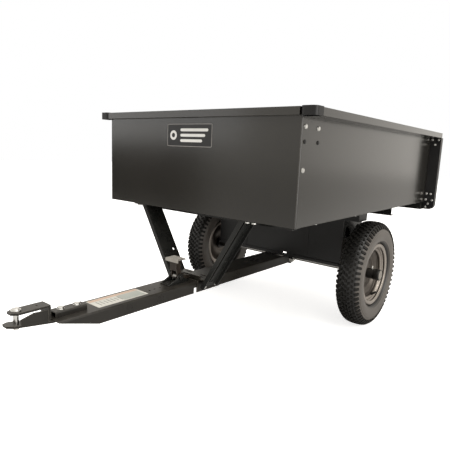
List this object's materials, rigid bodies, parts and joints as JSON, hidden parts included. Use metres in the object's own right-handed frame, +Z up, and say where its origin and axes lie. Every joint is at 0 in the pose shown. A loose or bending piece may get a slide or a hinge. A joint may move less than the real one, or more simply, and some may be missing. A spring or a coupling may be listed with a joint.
{
  "type": "tow-behind dump cart",
  "caption": "Tow-behind yard cart: open steel bed that tips about a bolt under the axle support, sliding tailgate, foot latch, clevis hitch and pneumatic wheels.",
  "frame": {"origin": "centre of the whole cart's plan on the ground under the tyres", "axes": "+Y from the hitch to the tailgate, +X to the right side seen from the hitch, +Z up"},
  "size_m": [0.887, 1.7948, 0.7595],
  "materials": {
    "panel_paint": "satin powder coat",
    "black_paint": "satin powder coat",
    "underframe_paint": "satin powder coat",
    "tongue_paint": "satin powder coat",
    "zinc": "zinc plated",
    "axle_steel": "drawn bar",
    "spring_steel": "wire",
    "lever_steel": "worn plate",
    "pedal_steel": "rubbed plate",
    "tyre_rubber": "moulded rubber",
    "rim_paint": "satin grey paint",
    "hub_black": "satin",
    "bushing": "sintered",
    "cap_grey": "moulded",
    "valve_rubber": "moulded"
  },
  "bodies": {
    "drawbar": {"tongue_front": "tongue_paint", "tongue_rear": "tongue_paint", "tongue_bolts": "zinc", "hitch_upper_plate": "tongue_paint", "hitch_lower_plate": "tongue_paint", "hitch_mount": "tongue_paint", "hitch_bolts": "zinc", "latch_bracket": "underframe_paint", "latch_bolts": "hub_black", "latch_pin": "hub_black", "latch_spring": "spring_steel", "pivot_bolt": "zinc"},
    "bed": {"bed_floor": "panel_paint", "front_panel": "panel_paint", "right_side_panel": "panel_paint", "left_side_panel": "panel_paint", "corner_caps": "black_paint", "right_rear_bracket": "black_paint", "left_rear_bracket": "black_paint", "rear_sill": "underframe_paint", "rear_cross_member": "underframe_paint", "front_cross_member": "underframe_paint", "axle_support": "underframe_paint", "support_end_plates": "underframe_paint", "support_wings": "underframe_paint", "pivot_ears": "underframe_paint", "axle": "axle_steel", "axle_washers": "zinc", "axle_cotter_pins": "zinc", "right_leg": "underframe_paint", "left_leg": "underframe_paint", "latch_striker": "tongue_paint", "corner_bolts": "zinc", "corner_rivets": "black_paint", "rear_bracket_bolts": "zinc", "leg_bolts": "zinc", "underframe_bolts": "zinc", "floor_bolts": "zinc"},
    "tailgate": {"tailgate_panel": "panel_paint", "tailgate_rail": "panel_paint"},
    "latch": {"latch_lever": "lever_steel", "latch_pedal": "pedal_steel"},
    "hitch_pin": {"hitch_pin": "zinc"},
    "right_wheel": {"right_tyre": "tyre_rubber", "right_rim": "rim_paint", "right_hub": "hub_black", "right_bushings": "bushing", "right_cap": "cap_grey", "right_valve": "valve_rubber"},
    "left_wheel": {"left_tyre": "tyre_rubber", "left_rim": "rim_paint", "left_hub": "hub_black", "left_bushings": "bushing", "left_cap": "cap_grey", "left_valve": "valve_rubber"}
  },
  "joints": [
    {"name": "bed_dump", "type": "hinge", "parent": "drawbar", "child": "bed", "pos_m": [0, 0.27365, 0.195], "axis": [-1, 0, 0], "range_deg": [0, 32]},
    {"name": "right_wheel_spin", "type": "hinge", "parent": "bed", "child": "right_wheel", "pos_m": [0.371, 0.30265, 0.2], "axis": [1, 0, 0], "continuous": true},
    {"name": "left_wheel_spin", "type": "hinge", "parent": "bed", "child": "left_wheel", "pos_m": [-0.371, 0.30265, 0.2], "axis": [1, 0, 0], "continuous": true},
    {"name": "tailgate_slide", "type": "slide", "parent": "bed", "child": "tailgate", "axis": [0, 0, 1], "range_m": [0, 0.3]},
    {"name": "latch_pedal_hinge", "type": "hinge", "parent": "drawbar", "child": "latch", "pos_m": [0, -0.35635, 0.236], "axis": [1, 0, 0], "range_deg": [0, 22], "stiffness_Nm_per_rad": 1.5, "springref_deg": -20.05},
    {"name": "hitch_pin_lift", "type": "slide", "parent": "drawbar", "child": "hitch_pin", "axis": [0, 0, 1], "range_m": [0, 0.055]}
  ]
}
